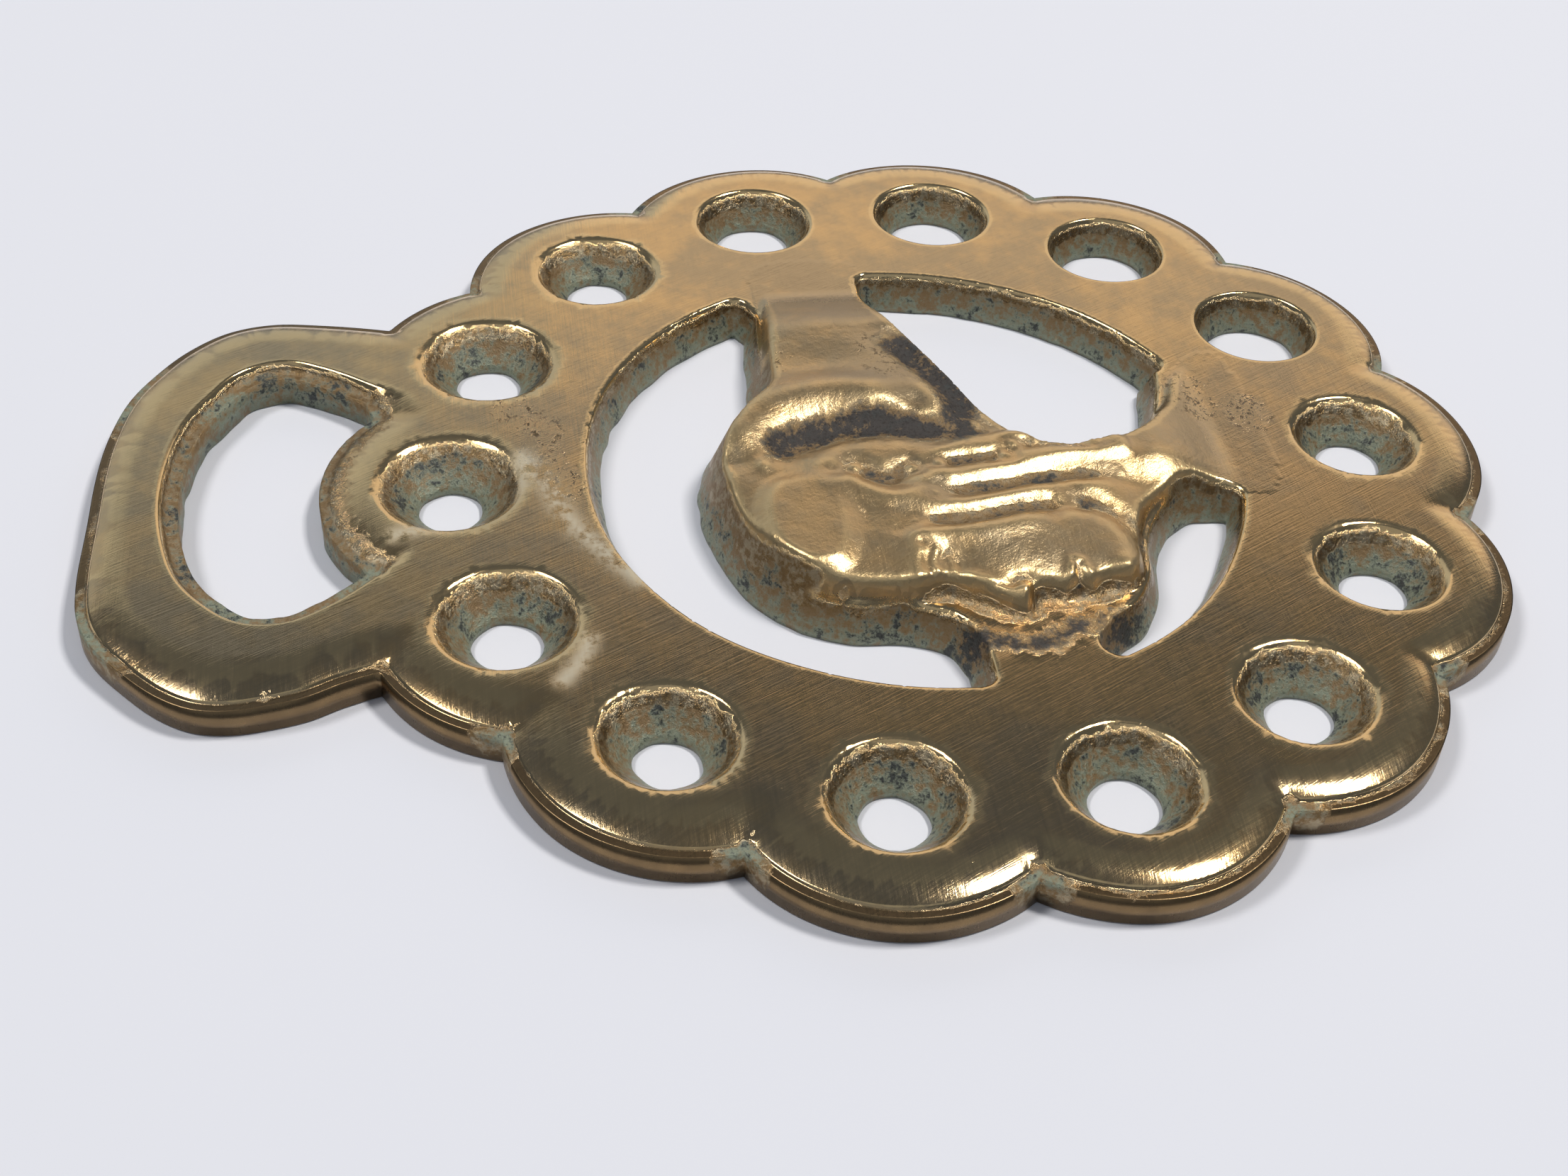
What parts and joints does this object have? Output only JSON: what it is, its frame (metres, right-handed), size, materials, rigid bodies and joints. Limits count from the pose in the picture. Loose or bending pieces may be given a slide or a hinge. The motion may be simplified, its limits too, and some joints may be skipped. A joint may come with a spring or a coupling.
{
  "type": "horse brass",
  "caption": "Cast horse brass: scalloped ring pierced with countersunk holes, strap loop on top, and a capped head in profile in the open centre.",
  "frame": {"origin": "middle of the bounding box in plan, on the flat back that the brass lies on", "axes": "+Z out of the decorated front face, +Y from the ring towards the strap loop, +X to the right as the front is seen"},
  "size_m": [0.075, 0.0904, 0.0053],
  "materials": {
    "cast_brass": "hand-polished cast brass, worn and unevenly tarnished, dark in the recesses"
  },
  "bodies": {
    "root": {"brass_casting": "cast_brass"}
  },
  "joints": []
}
